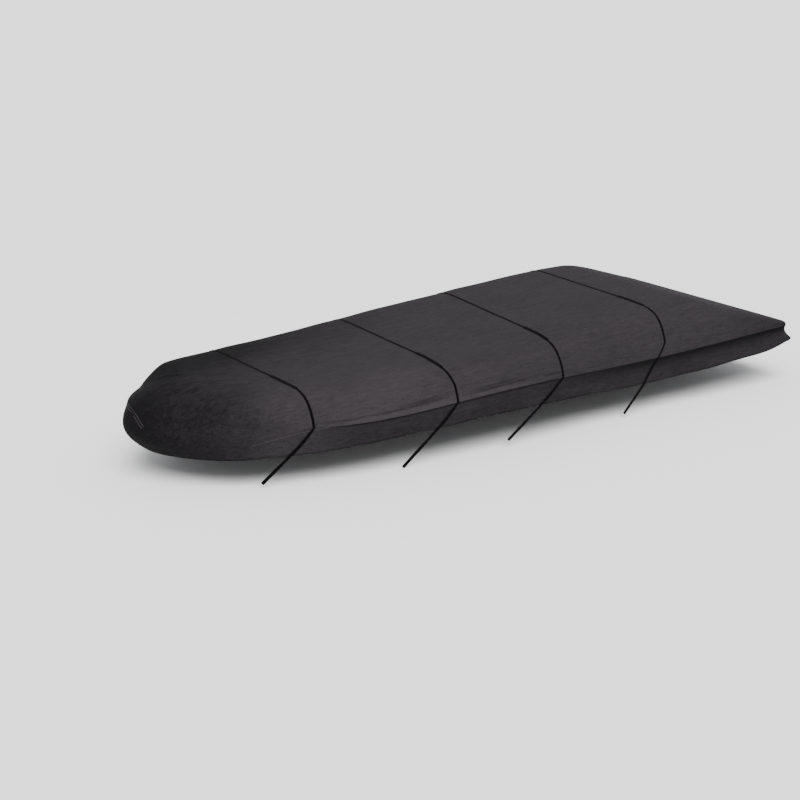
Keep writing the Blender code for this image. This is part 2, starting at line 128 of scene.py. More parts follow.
CREASES = (               # at the bow: station and place across of both ends, half width, height
    (4.253, 0.525, 4.076, 0.610, 0.010, -0.0050),
    (4.137, 0.559, 4.060, 0.585, 0.008, 0.0050),
    (3.997, 0.571, 3.975, 0.637, 0.009, -0.0050),
    (4.038, 0.517, 3.961, 0.492, 0.010, 0.0040),
    (4.136, 0.585, 4.035, 0.623, 0.008, 0.0030),
    (4.421, 0.369, 4.289, 0.495, 0.018, -0.0075),
    (4.541, 0.070, 4.317, 0.249, 0.020, -0.0070),
    (4.450, -0.239, 4.280, -0.060, 0.014, 0.0055),
    (4.380, 0.060, 4.150, 0.150, 0.014, 0.0050),
    (4.300, 0.330, 4.130, 0.420, 0.012, 0.0045),
    (4.180, 0.250, 4.020, 0.330, 0.012, -0.0045),
    (4.470, 0.180, 4.420, 0.330, 0.012, 0.0050),
    (4.450, -0.370, 4.620, -0.100, 0.022, -0.0100),
)
PAINTED_LIGHT_AND_SHADE = (                # painted light and shade in patches: station, place across, half length, half width, amount
    (4.640, 0.05, 0.62, 1.20, -0.53),
    (4.000, -0.38, 0.45, 0.35, -0.24),
    (4.680, 0.06, 0.10, 0.20, -0.14),
    (0.200, 0.88, 0.35, 0.12, -0.30),
    (3.700, -0.66, 0.95, 0.45, -0.46),
    (3.450, 0.75, 0.60, 0.30, 0.20),
    (4.000, 0.55, 0.16, 0.16, 0.16),
)
TOP_TONE = 0.60
SEAM_RAISE = 0.0008       # the sewn edge beside the gunwale line: height, inset and half width
SEAM_INSET = 0.010
SEAM_HALF = 0.006
MOUNT_STATION = 2.4       # the station of the frame's origin
RIBS = (("transom", 52), ("corner", 10), ("aft", 44), ("spine", 188), ("nose", 46))
RINGS_WIDE, RINGS_CLOSE = 44, 26
CLOSE_BAND = 0.12         # the last rings lie close together, over this run to the edge
RING_SAMPLES = 4001
TINY = 1e-9               # a length below this has no direction


def smooth_step(t):
    """0 below 0, 1 above 1, and an even S between."""
    t = np.clip(t, 0.0, 1.0)
    return t * t * (3 - 2 * t)


def section(column, station):
    """A column of SECTIONS at any station, on a smooth cubic through its rows."""
    knots, values = SECTIONS[:, 0], SECTIONS[:, SECTION_COLUMNS.index(column)]
    slopes = np.gradient(values, knots)
    station = np.clip(np.asarray(station, float), knots[0], knots[-1])
    i = np.clip(np.searchsorted(knots, station) - 1, 0, len(knots) - 2)
    span = knots[i + 1] - knots[i]
    t = (station - knots[i]) / span
    start = (2 * t**3 - 3 * t**2 + 1) * values[i] + (t**3 - 2 * t**2 + t) * span * slopes[i]
    end = (3 * t**2 - 2 * t**3) * values[i + 1] + (t**3 - t**2) * span * slopes[i + 1]
    return start + end


def bow_share(station):
    """0 where the bow starts to close and 1 at the nose."""
    return np.clip((station - BOW_START) / (LENGTH - BOW_START), 0.0, 1.0)


def half_breadth(station):
    """Half the width at a station: the table's value, closed by a superellipse to the nose."""
    closing = bow_share(station) ** BOW_POWER_LONG
    return section("half_breadth", station) * (1 - closing) ** (1 / BOW_POWER_WIDE)


def corner_breadth(station):
    """Half the width of the plan, with the rounded stern corners taken off."""
    inside = CORNER_RADIUS - np.clip(station, 0.0, CORNER_RADIUS)
    return half_breadth(station) - CORNER_RADIUS + np.sqrt(CORNER_RADIUS**2 - inside**2)


def skew_shift(spine, side):
    """How far forward of its middle a rib reaches the gunwale: the skew of the straps, which
    changes along an even S from one strap to the next.
    """
    knots, shifts = [SPINE_AFT], [0.0]
    for row in STRAPS:
        strap = dict(zip(STRAP_COLUMNS, row))
        for end in (-1, 1):
            knots.append(strap["station"] + end * STRAP_WIDTH / 2)
            shifts.append(strap["skew"] * float(half_breadth(strap["station"])))
    knots, shifts = np.array(knots + [SPINE_FORE]), np.array(shifts + [0.0])
    i = np.clip(np.searchsorted(knots, spine) - 1, 0, len(knots) - 2)
    t = smooth_step((spine - knots[i]) / (knots[i + 1] - knots[i]))
    return side * (shifts[i] + (shifts[i + 1] - shifts[i]) * t)


def gunwale_outline(side):
    """Station, distance from the middle and inner end of the rib, for points of the gunwale
    line on one side: the transom, a quarter circle, the flank, and a nose at even angles.
    """
    counts = dict(RIBS)
    half = float(half_breadth(0.0))
    transom = np.zeros((counts["transom"], 2))
    transom[:, 1] = np.linspace(0, half - CORNER_RADIUS, counts["transom"], endpoint=False)
    turn = np.linspace(0, math.pi / 2, counts["corner"], endpoint=False)
    corner = np.column_stack([
        CORNER_RADIUS * (1 - np.cos(turn)),
        half - CORNER_RADIUS * (1 - np.sin(turn)),
    ])
    aft = np.linspace(CORNER_RADIUS, SPINE_AFT, counts["aft"], endpoint=False)
    spine = np.linspace(SPINE_AFT, SPINE_FORE, counts["spine"], endpoint=False)
    start = math.asin(bow_share(SPINE_FORE) ** (BOW_POWER_LONG / 2))
    angle = np.linspace(start, math.pi / 2, counts["nose"])
    nose = BOW_START + (LENGTH - BOW_START) * np.sin(angle) ** (2 / BOW_POWER_LONG)
    stations = np.concatenate([aft, spine + skew_shift(spine, side), nose])
    flank = np.column_stack([stations, half_breadth(stations)])
    flank[-1] = (LENGTH, 0.0)
    points = np.vstack([transom, corner, flank])
    inner = np.clip(points[:, 0], SPINE_AFT, SPINE_FORE)
    first = len(transom) + len(corner) + len(aft)
    inner[first:first + len(spine)] = spine
    return np.column_stack([points, inner])


def whole_outline():
    """The outline all the way round: port side out, starboard side back."""
    return np.vstack([gunwale_outline(1), gunwale_outline(-1)[-2:0:-1] * (1, -1, 1)])


def unit(vectors):
    """Vectors brought to length 1, and straight up where they have no length."""
    length = np.linalg.norm(vectors, axis=-1, keepdims=True)
    up = np.zeros_like(vectors)
    up[..., 2] = 1.0
    return np.where(length > TINY, vectors / np.maximum(length, TINY), up)


def outward(grid):
    """Outward directions on a closed grid: the step round the cover crossed with the step down."""
    along = np.roll(grid, -1, axis=0) - np.roll(grid, 1, axis=0)
    return unit(np.cross(along, np.gradient(grid, axis=1)))


def ripples(rows, station, share, side):
    """Sum of sine waves along the cover, each fading out as a parabola across its band."""
    total = np.zeros(np.broadcast(station, share).shape)
    for height, length, phase, low, high in rows:
        middle, half = (low + high) / 2, (high - low) / 2
        fade = np.clip(1 - ((share - middle) / half) ** 2, 0.0, 1.0)
        angle = 2 * math.pi * station / length + phase + STARBOARD_PHASE * (side < 0)
        total += height * fade * np.sin(angle)
    return total


def strap_dents(spine, share):
    """Hollows under the straps: bell curves across each strap, shallower at the middle."""
    total = np.zeros(np.broadcast(spine, share).shape)
    for row in STRAPS:
        away = (spine - row[STRAP_COLUMNS.index("station")]) / STRAP_DENT_WIDTH
        total -= STRAP_DENT * (DENT_MIDDLE + (1 - DENT_MIDDLE) * smooth_step(share)) * np.exp(-(away**2))
    return total


def gunwale_folds(rows, station, distance, side):
    """Stretched folds along the port gunwale: bell curves across, fading out at their ends."""
    total = np.zeros(np.broadcast(station, distance).shape)
    for start, end, line, drift, height, width in rows:
        middle, half = (start + end) / 2, (end - start) / 2
        fade = smooth_step(FOLD_RATE * (1 - np.abs(station - middle) / half))
        away = (distance - line - drift * (station - middle)) / width
        total += height * fade * (side > 0) * np.exp(-(away**2))
    return total


def soft_creases(x, y):
    """Short creases: a bell curve of the distance to each line, fading out towards its ends."""
    total = np.zeros(np.broadcast(x, y).shape)
    for x_from, y_from, x_to, y_to, width, height in CREASES:
        length = math.hypot(x_to - x_from, y_to - y_from)
        along_x, along_y = (x_to - x_from) / length, (y_to - y_from) / length
        middle_x, middle_y = x - (x_from + x_to) / 2, y - (y_from + y_to) / 2
        along = middle_x * along_x + middle_y * along_y
        away = (middle_y * along_x - middle_x * along_y) / width
        total += height * smooth_step(2 * (1 - 2 * np.abs(along) / length)) * np.exp(-(away**2))
    return total


def seam_ridge(inset):
    """The sewn seam allowance: a low flat ridge beside the gunwale line."""
    return SEAM_RAISE * smooth_step(2 * (1 - np.abs(inset - SEAM_INSET) / SEAM_HALF))


def shoulder(share, power):
    """1 in the middle of the top and 0 at its edge: the higher the power, the flatter."""
    return np.maximum(1 - share**power, 0.0) ** (1 / SHOULDER_ROUND)


def stern_fall(station):
    """1 at the stern end of the ridge, falling along a hyperbola to 0 at the transom."""
    away = np.clip(1 - station / SPINE_AFT, 0.0, 1.0)
    soft = STERN_SOFTNESS
    return 1 - (np.hypot(away, soft) - soft) / (math.hypot(1, soft) - soft)


def top_parts(station, across, spine, r):
    """Points of the top at a share r of its ribs, and how far its unevenness stands out there.
    Height: the gunwale's, plus the crown over it times a share that falls from 1 to 0.
    """
    gunwale = section("gunwale", station)
    reach = np.hypot(station - spine, across)
    heading = (station - np.clip(station, SPINE_AFT, SPINE_FORE)) / reach
    x = spine + r * (station - spine)
    y = r * across
    crown = section("crown", np.clip(x, SPINE_AFT, SPINE_FORE))
    inset = (1 - r) * reach
    near = np.clip(EDGE_ROLL - inset, 0, EDGE_ROLL)
    roll = EDGE_ROLL - np.sqrt(EDGE_ROLL**2 - near**2)
    breadth = np.clip(np.abs(y) / corner_breadth(np.clip(x, 0.0, BOW_START)), 0.0, 1.0)
    side_share = shoulder(r, SHOULDER_POWER)
    fore = smooth_step(heading * FAN_RATE)
    share = np.where(
        heading < 0,
        shoulder(breadth, SHOULDER_POWER) * stern_fall(x),
        side_share + (shoulder(r, BOW_POWER) - side_share) * fore,
    )
    z = gunwale + (crown - gunwale) * share - roll
    side = np.where(across < 0, -1, 1)
    calm = 1 - (1 - STARBOARD_CALM) * (side < 0) * smooth_step(r / CALM_SHARE)
    relief = (ripples(TOP_RIPPLES, x, r, side) + strap_dents(spine, r)) * calm
    relief = relief + gunwale_folds(FOLDS, x, inset, side)
    relief = relief + gunwale_folds(PLEATS, x, z - gunwale, side)
    relief = relief + seam_ridge(inset) + soft_creases(x, y)
    relief = relief * smooth_step((1 - r) / EDGE_CALM) * (np.abs(across) > 0)
    return np.stack(np.broadcast_arrays(x, y, z), axis=-1), relief


def ring_shares():
    """Shares of a rib for the rings: even steps along the middle rib's length, closer at its edge."""
    dense = np.linspace(0, 1, RING_SAMPLES)
    half = float(half_breadth(MOUNT_STATION))
    points = top_parts(MOUNT_STATION, half, MOUNT_STATION, dense)[0]
    run = np.concatenate([[0], np.cumsum(np.linalg.norm(np.diff(points, axis=0), axis=1))])
    wide = np.linspace(0, run[-1] - CLOSE_BAND, RINGS_WIDE, endpoint=False)
    close = np.linspace(run[-1] - CLOSE_BAND, run[-1], RINGS_CLOSE)
    return np.interp(np.concatenate([wide, close]), run, dense)


def top_surface(outline, rings):
    """The top's outer face on ribs and rings, with its unevenness, and its outward directions."""
    station, across, spine = (column[:, None] for column in outline.T)
    grid, relief = top_parts(station, across, spine, rings)
    normals = outward(grid)
    normals[:, 0] = (0, 0, 1)
    grid = grid + relief[..., None] * normals
    normals = outward(grid)
    normals[:, 0] = (0, 0, 1)
    normals[:, -1, 2] = 0.0
    return grid, unit(normals)


def place(points):
    """From stations and heights to the part's own frame, whose origin is under the crown."""
    under_crown = float(section("crown", MOUNT_STATION)) - CLOTH
    return np.asarray(points) - (MOUNT_STATION, 0, under_crown)


SHARP_ANGLE = math.radians(50)
WELD_REACH = 1e-6


def add_mesh(name, points, faces, uv=None, masks=None):
    """An object from points and triangles or quads; uv and masks have one row for each point."""
    mesh = bpy.data.meshes.new(name)
    mesh.vertices.add(len(points))
    mesh.vertices.foreach_set("co", np.asarray(points, np.float32).ravel())
    sides = faces.shape[1]
    mesh.loops.add(faces.size)
    mesh.loops.foreach_set("vertex_index", faces.astype(np.int32).ravel())
    mesh.polygons.add(len(faces))
    mesh.polygons.foreach_set("loop_start", np.arange(0, faces.size, sides, dtype=np.int32))
    mesh.update(calc_edges=True)
    if uv is not None:
        layer = mesh.uv_layers.new(name="UVMap")
        layer.data.foreach_set("uv", np.asarray(uv, np.float32)[faces.ravel()].ravel())
    for mask, values in (masks or {}).items():
        attribute = mesh.attributes.new(mask, "FLOAT", "POINT")
        attribute.data.foreach_set("value", np.asarray(values, np.float32).ravel())
    mesh.validate()
    mesh.shade_smooth()
    mesh.set_sharp_from_angle(angle=SHARP_ANGLE)
    piece = bpy.data.objects.new(name, mesh)
    bpy.context.scene.collection.objects.link(piece)
    return piece


def closed_sheet(name, grid, normals, uv, masks, joined_middle):
    """A sheet with its thickness: outer face, inner face, and rims along its free edges. Where
    the middle is joined, all ribs start from points that two of them share.
    """
    ribs, rows = grid.shape[:2]
    outer = np.arange(ribs * rows).reshape(ribs, rows)
    after = np.roll(outer, -1, axis=0)
    inner, inner_after = outer + ribs * rows, after + ribs * rows

    def quads(a, b, c, d):
        """Faces between four blocks of corners."""
        return np.stack([x.ravel() for x in (a, b, c, d)], axis=1)

    faces = [
        quads(outer[:, :-1], after[:, :-1], after[:, 1:], outer[:, 1:]),
        quads(inner[:, :-1], inner[:, 1:], inner_after[:, 1:], inner_after[:, :-1]),
        quads(outer[:, -1], after[:, -1], inner_after[:, -1], inner[:, -1]),
    ]
    if not joined_middle:
        faces.append(quads(outer[:, 0], inner[:, 0], inner_after[:, 0], after[:, 0]))
    points = place(np.vstack([grid.reshape(-1, 3), (grid - CLOTH * normals).reshape(-1, 3)]))
    twice = {mask: np.tile(values.ravel(), 2) for mask, values in masks.items()}
    piece = add_mesh(name, points, np.vstack(faces), np.tile(uv.reshape(-1, 2), (2, 1)), twice)
    if joined_middle:
        weld(piece)
    return piece


def weld(piece):
    """Merges points that lie on each other, so that seams and poles are closed."""
    work = bmesh.new()
    work.from_mesh(piece.data)
    bmesh.ops.remove_doubles(work, verts=work.verts, dist=WELD_REACH)
    work.to_mesh(piece.data)
    work.free()


def paint(name, colour, roughness):
    """A Principled material with its colour and roughness, its node tree and its shader."""
    material = bpy.data.materials.new(name)
    material.use_nodes = True
    shader = material.node_tree.nodes["Principled BSDF"]
    shader.inputs["Base Color"].default_value = (*colour, 1)
    shader.inputs["Roughness"].default_value = roughness
    return material, material.node_tree, shader


def put(tree, kind, settings=None, **inputs):
    """A node with its settings and inputs: an input is a value or another node's output."""
    node = tree.nodes.new(kind)
    for key, value in (settings or {}).items():
        setattr(node, key, value)
    for key, value in inputs.items():
        socket = node.inputs[int(key[1:])] if key[0] == "_" else node.inputs[key]
        if isinstance(value, bpy.types.NodeSocket):
            tree.links.new(value, socket)
        else:
            socket.default_value = value
    return node


def maths(tree, operation, *values):
    """The output of a Math node."""
    inputs = {f"_{i}": value for i, value in enumerate(values)}
    return put(tree, "ShaderNodeMath", {"operation": operation}, **inputs).outputs[0]


def new_group(name, inputs, outputs):
    """An empty shader node group with named number inputs and outputs, and a vector to lie on."""
    tree = bpy.data.node_groups.new(name, "ShaderNodeTree")
    tree.interface.new_socket("Place", in_out="INPUT", socket_type="NodeSocketVector")
    for key, value in inputs.items():
        socket = tree.interface.new_socket(key, in_out="INPUT", socket_type="NodeSocketFloat")
        socket.default_value = value
    for key in outputs:
        tree.interface.new_socket(key, in_out="OUTPUT", socket_type="NodeSocketFloat")
    return tree, tree.nodes.new("NodeGroupInput").outputs, tree.nodes.new("NodeGroupOutput").inputs


THREAD_PITCH = 0.0009
STREAK_LONG, STREAK_WIDE = 9.0, 58.0       # streaks for each metre, along the cover and across
STREAKS = (("Fine", 1.0, 3.0), ("Broad", 0.3, 2.0))     # name, share of those numbers, detail
STREAK_ROUGHNESS = 0.55
CRINKLES = (15.0, 62.0, 62.0)              # crinkles for each metre, along, across and up
CRINKLE_NOISE = {"Detail": 3.0, "Roughness": 0.6, "Distortion": 0.7}
MOTTLE_NOISE = {"Scale": 2.6, "Detail": 4.0, "Roughness": 0.6}
GRAIN_NOISE = {"Scale": 130.0, "Detail": 1.0, "Roughness": 0.5}


def plain_weave_group():
    """Threads over and under: the height is the product of two sine waves, one each way."""
    pitches = {"Along": THREAD_PITCH, "Across": THREAD_PITCH}
    tree, given, out = new_group("plain_weave", pitches, ("Height",))
    place_xyz = put(tree, "ShaderNodeSeparateXYZ", _0=given["Place"]).outputs
    waves = []
    for axis, pitch in (("X", "Along"), ("Y", "Across")):
        turns = maths(tree, "DIVIDE", place_xyz[axis], given[pitch])
        waves.append(maths(tree, "SINE", maths(tree, "MULTIPLY", turns, math.pi)))
    product = maths(tree, "MULTIPLY", *waves)
    tree.links.new(maths(tree, "MULTIPLY_ADD", product, 0.5, 0.5), out["Height"])
    return tree


def drawn_streaks_group():
    """Noise in five kinds: fine and broad streaks and short crinkles, all drawn out along the
    first direction, and slow mottling and fine grain, which are even both ways.
    """
    names = ("Fine", "Broad", "Mottle", "Grain", "Crinkle")
    scales = {"Long": STREAK_LONG, "Wide": STREAK_WIDE}
    tree, given, out = new_group("drawn_streaks", scales, names)

    def drawn_out(scale):
        """The place, stretched by a share each way."""
        return put(
            tree, "ShaderNodeVectorMath", {"operation": "MULTIPLY"}, _0=given["Place"], _1=scale,
        ).outputs[0]

    def noise(vector, key, **values):
        """One kind of noise, put out under its own name."""
        node = put(tree, "ShaderNodeTexNoise", Vector=vector, **values)
        tree.links.new(node.outputs[0], out[key])

    for key, size, detail in STREAKS:
        long, wide = (maths(tree, "MULTIPLY", given[way], size) for way in ("Long", "Wide"))
        scale = put(tree, "ShaderNodeCombineXYZ", X=long, Y=wide, Z=wide).outputs[0]
        noise(drawn_out(scale), key, Scale=1.0, Detail=detail, Roughness=STREAK_ROUGHNESS)
    noise(given["Place"], "Mottle", **MOTTLE_NOISE)
    noise(given["Place"], "Grain", **GRAIN_NOISE)
    noise(drawn_out(CRINKLES), "Crinkle", Scale=1.0, **CRINKLE_NOISE)
    return tree


def place_group(tree, group, **inputs):
    """A group's node with its inputs."""
    node = tree.nodes.new("ShaderNodeGroup")
    node.node_tree = group
    for key, value in inputs.items():
        if isinstance(value, bpy.types.NodeSocket):
            tree.links.new(value, node.inputs[key])
        else:
            node.inputs[key].default_value = value
    return node.outputs


def blend_colours(tree, share, first, second):
    """The output of a colour mix: first where share is 0 and second where it is 1."""
    node = tree.nodes.new("ShaderNodeMix")
    node.data_type = "RGBA"
    for socket, value in ((node.inputs[0], share), (node.inputs[6], first), (node.inputs[7], second)):
        if isinstance(value, bpy.types.NodeSocket):
            tree.links.new(value, socket)
        else:
            socket.default_value = value if isinstance(value, float) else (*value, 1)
    return node.outputs[2]


plain_weave = plain_weave_group()
drawn_streaks = drawn_streaks_group()

CLOTH_DARK, CLOTH_LIGHT = (0.0036, 0.0030, 0.0036), (0.0303, 0.0267, 0.0297)
# the colour towards which painted shade darkens the cloth
CLOTH_PAINTED_SHADE = (0.0022, 0.0020, 0.0022)
CLOTH_ROUGH, CLOTH_ROUGH_RANGE, CLOTH_SHINE = 0.80, 0.14, 0.08
CLOTH_MIX = (("Fine", 0.34), ("Broad", 0.20), ("Mottle", 0.30), ("Grain", 0.45))   # share of the tone
# the crinkles' share of the colour: random tone, and in part painted light and shade of their relief
CRINKLE_TONE_AND_SHADING, WEAVE_MIX = 0.62, 0.12
BROAD_RELIEF, CRINKLE_RELIEF = 1.6, 3.4    # beside the relief of the fine streaks, which is 1
DRAWN_HEIGHT, DRAWN_STRENGTH = 0.0035, 0.8
THREAD_HEIGHT, THREAD_STRENGTH = 0.00022, 0.7


def mask_of(tree, name):
    """The output of one of the mesh's own masks."""
    return put(tree, "ShaderNodeAttribute", {"attribute_name": name}).outputs["Fac"]


def add_uneven(tree, value, weight, share):
    """A share moved up and down by a value that lies about 0.5, times its weight."""
    return maths(tree, "MULTIPLY_ADD", maths(tree, "SUBTRACT", value, 0.5), weight, share)


def cloth_material():
    """Charcoal polyester: two tones mixed by streaks, mottling, crinkles and the cloth's own mask of
    tone with painted light and shade, darker where shade is painted: in creases, under the seam and the
    pleats, and along rims and the hem. Its weave and its drawn streaks stand in the surface as bump.
    """
    material, tree, shader = paint("cover_cloth", CLOTH_LIGHT, CLOTH_ROUGH)
    uv = put(tree, "ShaderNodeUVMap", {"uv_map": "UVMap"}).outputs[0]
    in_place = put(tree, "ShaderNodeTexCoord").outputs["Object"]
    streaks = place_group(tree, drawn_streaks, Place=in_place, Long=STREAK_LONG, Wide=STREAK_WIDE)
    weave = place_group(tree, plain_weave, Place=uv)
    share = mask_of(tree, "tone")
    for key, weight in CLOTH_MIX:
        share = add_uneven(tree, streaks[key], weight, share)
    # crinkles in the colour: random tone and in part painted light and shade of their relief
    crinkles = maths(tree, "SUBTRACT", streaks["Crinkle"], 0.5)
    crinkles = maths(tree, "MULTIPLY", crinkles, mask_of(tree, "crinkle"))
    share = maths(tree, "MULTIPLY_ADD", crinkles, CRINKLE_TONE_AND_SHADING, share)
    share = add_uneven(tree, weave["Height"], WEAVE_MIX, share)
    share = put(tree, "ShaderNodeClamp", Value=share).outputs[0]
    colour = blend_colours(tree, share, CLOTH_DARK, CLOTH_LIGHT)
    # painted shade: darker in creases, under the seam and the pleats, and along rims and the hem
    colour = blend_colours(tree, mask_of(tree, "painted_shade"), colour, CLOTH_PAINTED_SHADE)
    tree.links.new(colour, shader.inputs["Base Color"])
    rough = maths(tree, "MULTIPLY_ADD", streaks["Mottle"], CLOTH_ROUGH_RANGE, CLOTH_ROUGH)
    tree.links.new(rough, shader.inputs["Roughness"])
    height = maths(tree, "MULTIPLY_ADD", streaks["Broad"], BROAD_RELIEF, streaks["Fine"])
    height = maths(tree, "MULTIPLY_ADD", crinkles, CRINKLE_RELIEF, height)
    drawn = put(
        tree, "ShaderNodeBump", Height=height, Distance=DRAWN_HEIGHT, Strength=DRAWN_STRENGTH,
    ).outputs[0]
    threads = put(
        tree, "ShaderNodeBump", Height=weave["Height"], Distance=THREAD_HEIGHT,
        Strength=THREAD_STRENGTH, Normal=drawn,
    ).outputs[0]
    tree.links.new(threads, shader.inputs["Normal"])
    shader.inputs["Specular IOR Level"].default_value = CLOTH_SHINE
    return material


outline = whole_outline()
rings = ring_shares()
top_face, top_normals = top_surface(outline, rings)
ring_steps = np.linalg.norm(np.diff(top_face, axis=1), axis=2)
down_rib = np.concatenate([np.zeros((len(outline), 1)), np.cumsum(ring_steps, axis=1)], axis=1)
rib_reach = np.hypot(outline[:, 0] - outline[:, 2], outline[:, 1])
top_uv = np.stack([
    outline[:, 2:3] + down_rib * ((outline[:, 0] - outline[:, 2]) / rib_reach)[:, None],
    down_rib * (outline[:, 1] / rib_reach)[:, None],
], axis=2)


def painted_light_and_shade(face):
    """Painted light and shade over a face: a sum of broad bell-shaped patches."""
    total = np.zeros(face.shape[:2])
    for station, across, half_length, half_width, amount in PAINTED_LIGHT_AND_SHADE:
        along, aside = (face[..., 0] - station) / half_length, (face[..., 1] - across) / half_width
        total += amount * np.exp(-(along**2) - aside**2)
    return total


def crinkle_mask(face):
    """How crinkled the cloth is: less along the cover, and fully over the bow."""
    at_bow = smooth_step((face[..., 0] - CRINKLE_FROM) / CRINKLE_RUN)
    return CRINKLE_LEAST + (1 - CRINKLE_LEAST) * at_bow


rise = top_face[..., 2] - section("gunwale", outline[:, :1])
sides = np.where(outline[:, 1:2] < 0, -1, 1)
# painted light: a paler band beside the port seam
painted_edge_light = [EDGE_LIGHT_SPAN + (0.0, 0.0, PAINTED_EDGE_LIGHT, EDGE_LIGHT_RISE)]
# painted shadows: a dark line below each pleat
pleat_shadows = [
    (start, end, height_up - PLEAT_SHADOW, drift, PLEAT_DARK, width)
    for start, end, height_up, drift, _, width in PLEATS
]
# painted shade along the rim to starboard and at the stern
far_rim = 1 - smooth_step(outline[:, 1:2] / RIM_TURN) * smooth_step(outline[:, :1] / RIM_TURN)
rim_shade = RIM_SHADE * far_rim * np.exp(-(((1 - rings[None, :]) / RIM_RUN) ** 2))
# painted shade in the creases of the bow
crease_shade = np.clip(-CREASE_DARK * soft_creases(top_face[..., 0], top_face[..., 1]), 0, 1)
# painted light and shade laid over the top's own tone
top_tone = TOP_TONE + painted_light_and_shade(top_face)
top_masks = {
    "tone": top_tone + gunwale_folds(painted_edge_light, top_face[..., 0], rise, sides),
    "painted_shade": gunwale_folds(pleat_shadows, top_face[..., 0], rise, sides) + rim_shade + crease_shade,
    "crinkle": crinkle_mask(top_face),
}
top_panel = closed_sheet("top_panel", top_face, top_normals, top_uv, top_masks, True)
cover_cloth = cloth_material()
top_panel.data.materials.append(cover_cloth)
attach(top_panel, "root")
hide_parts("cover_top")


# ---- The skirt ----
# A band of the same cloth, sewn to the top's edge and hanging free, with a folded hem. It is
# drawn in under the gunwale at the stern and stands out there at the hem.

GAP = 0.0004              # air between neighbouring pieces
HEM_EXTRA = 0.0012        # how far the folded hem stands proud of the skirt
HEM_SHARE = 0.14          # part of the skirt's depth that is folded hem
STEM_RAKE = 0.085         # how far the hem lies aft of the nose on the stem
NOSE_BULGE = 0.072        # how far the skirt swells forward between nose and hem
SKIRT_FLARE = 0.02        # share by which the hem is wider than the nose's gunwale line
FLARE_RATE = 1.5          # how soon the flare reaches its full width towards the nose
STERN_REACH = 2.4         # station from which the skirt takes on its stern shape, going aft
STERN_TUCK = 0.013        # there it hollows in under the gunwale line
TUCK_START = 0.15         # share of the depth over which the hollow begins
STERN_FLARE = 0.038       # and its hem stands out
CORNER_LIFT = 0.045       # the hem rises at the stern corners
CORNER_REACH = 0.16       # half length of that rise
SKIRT_RIPPLES = (         # columns as in TOP_RIPPLES: waves that grow from the gunwale line down
    (0.0035, 0.71, 0.9, -1.0, 1.0),
    (0.0025, 0.43, 2.6, -1.0, 1.0),
)
BAND_ROWS, HEM_ROWS = 19, 4
HEM_STEP = 0.006          # share of the depth over which the cloth steps out to the hem
HEM_STEP_ROWS = (0.0, 0.5, 1.0)
HEM_FIRST = 3 * HEM_STEP
SKIRT_TONE = 0.34         # painted shade: darker than the top, as the hanging skirt is in shade, but the same at the bow,
BOW_TONE_FROM, BOW_TONE_RUN = 3.55, 0.55   # from and over these stations
SEAM_SHADOW_DEPTH = 0.011      # the painted shadow, a dark line under the seam, which fades out at the bow
SEAM_SHADOW_FROM, SEAM_SHADOW_RUN = 3.85, 0.3
RECESS_DARK = 0.98        # painted shade in the hollow under the gunwale line, darker towards the stern
RECESS_DEPTH = 0.062
RECESS_FROM, RECESS_RUN = 2.5, 1.2
HEM_DARK, HEM_DEPTH = 0.6, 0.009           # painted shade along the turned edge of the hem


def stem_shift(fore, share):
    """How far the skirt reaches forward of the gunwale line: a swell, less a rake."""
    return (NOSE_BULGE * np.sin(math.pi * share) - STEM_RAKE * share) * fore**3


def skirt_waves(station, share, side):
    """Waves of the hanging cloth, growing from the gunwale line down."""
    return ripples(SKIRT_RIPPLES, station, np.zeros_like(share), side) * smooth_step(share)


def corner_lift(station, across):
    """How much higher the hem is round a stern corner: a bell curve of the distance to it."""
    away = np.hypot(station, half_breadth(0.0) - np.abs(across)) / CORNER_REACH
    return CORNER_LIFT * np.exp(-(away**2))


def stern_shape(station, share):
    """How far the skirt stands out at the stern: hollow under the gunwale, flared at the hem."""
    aft = smooth_step(1 - station / STERN_REACH)
    hollow = STERN_TUCK * np.sin(math.pi * share) * smooth_step(share / TUCK_START)
    return (STERN_FLARE * share**2 * aft - hollow) * aft


def skirt_breadth(station, share, side):
    """Half the width over the skirt's outer face at a station and a share of its depth."""
    above = station - stem_shift(bow_share(station), share)
    flare = 1 + SKIRT_FLARE * smooth_step(FLARE_RATE * bow_share(above)) * share
    return half_breadth(above) * flare + skirt_waves(station, share, side) + stern_shape(station, share)


def skirt_surface(outline, share):
    """The skirt's outer face, hung from the edge of the top, and its outward directions."""
    station, across = outline[:, :1], outline[:, 1:2]
    fore = bow_share(station)
    share = share[None, :]
    x = station + stem_shift(fore, share)
    y = across * (1 + SKIRT_FLARE * smooth_step(FLARE_RATE * fore) * share)
    depth = section("skirt_depth", station) - EDGE_ROLL - corner_lift(station, across)
    z = section("gunwale", station) - EDGE_ROLL - GAP - share * depth
    grid = np.stack([x, y, z], axis=2)
    side = np.sign(across)
    hem = HEM_EXTRA * smooth_step((share - (1 - HEM_SHARE)) / HEM_STEP)
    relief = skirt_waves(x, share, side) * np.abs(side) + hem
    normals = outward(grid)
    grid = grid + (relief + stern_shape(station, share))[..., None] * normals
    normals[:, 0, 2] = 0.0
    return grid, unit(normals)


